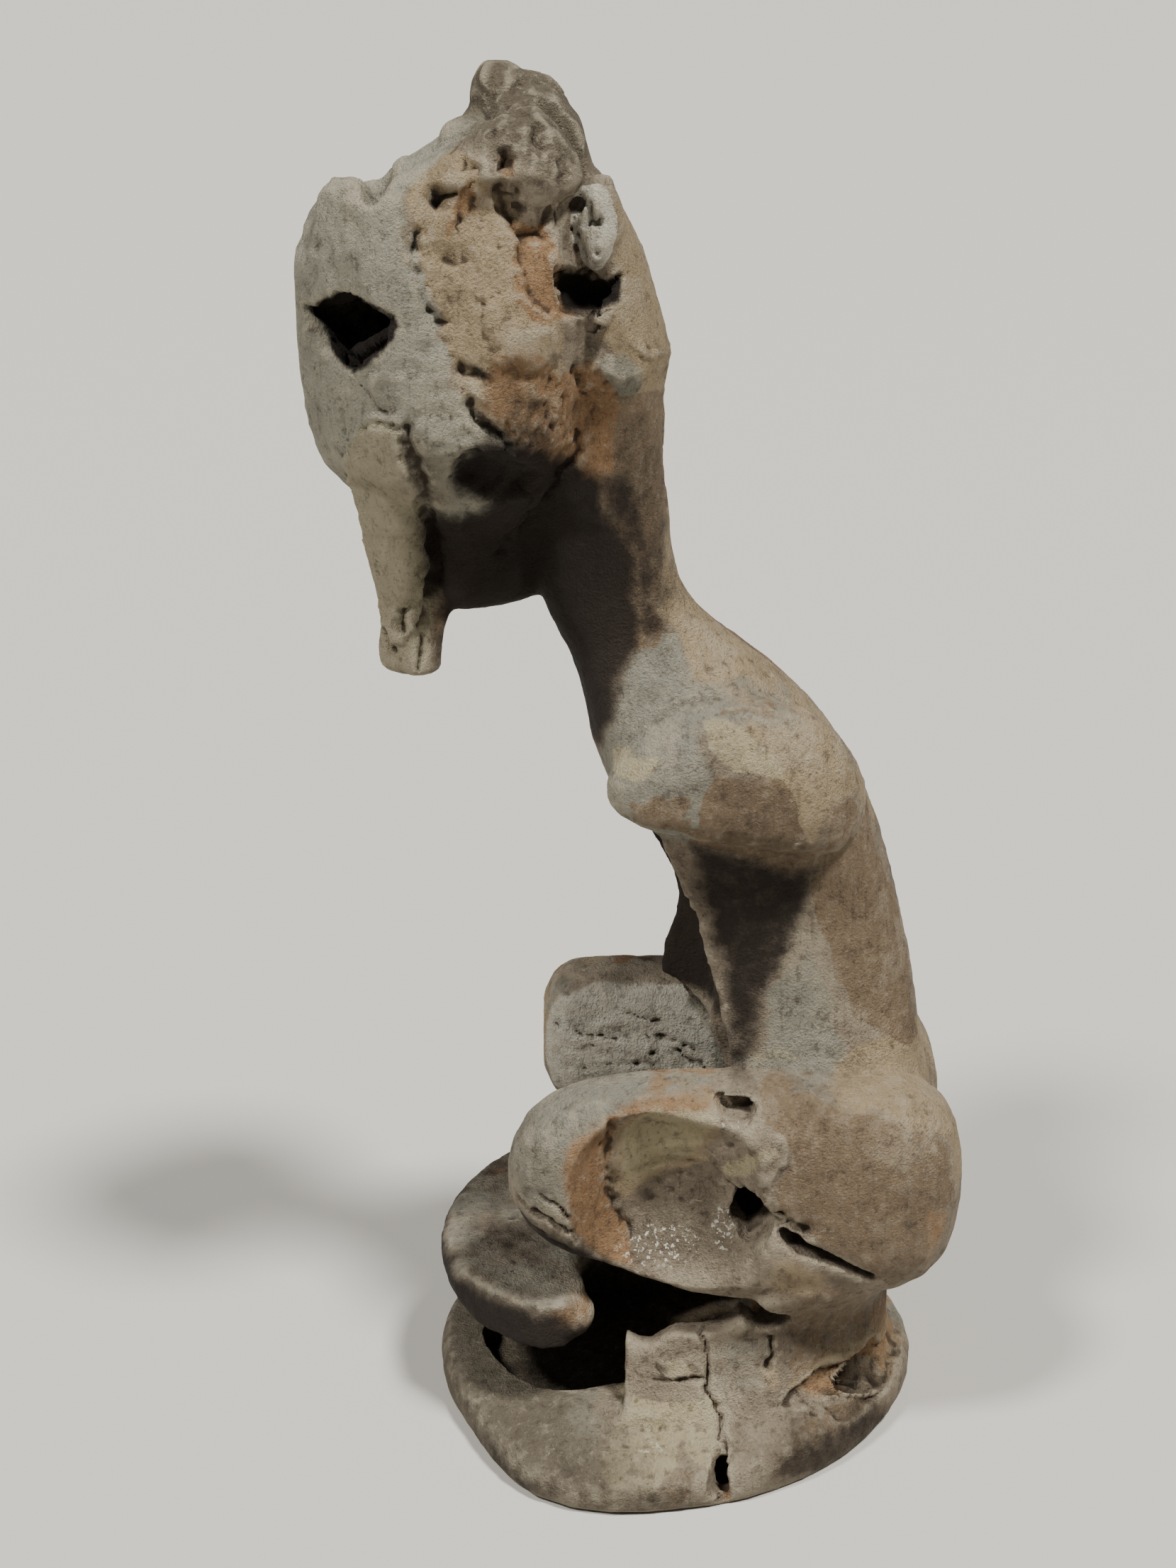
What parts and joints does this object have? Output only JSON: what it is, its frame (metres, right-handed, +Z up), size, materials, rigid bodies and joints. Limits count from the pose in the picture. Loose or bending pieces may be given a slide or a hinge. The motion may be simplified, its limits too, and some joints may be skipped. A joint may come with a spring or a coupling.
{
  "type": "seated figure carving",
  "caption": "Weathered wooden carving of a seated figure on a round stool, cut in one with its low round plinth, with a turned head and rotted hollows.",
  "frame": {"origin": "centre of the plinth's flat underside", "axes": "+Z up, -Y the way the figure's body faces, +X the figure's left side"},
  "size_m": [0.1595, 0.1992, 0.4285],
  "materials": {
    "weathered_wood": "dry, worn and crusted, with dark old patina and orange-brown fresh breaks"
  },
  "bodies": {
    "root": {"seated_figure": "weathered_wood"}
  },
  "joints": []
}
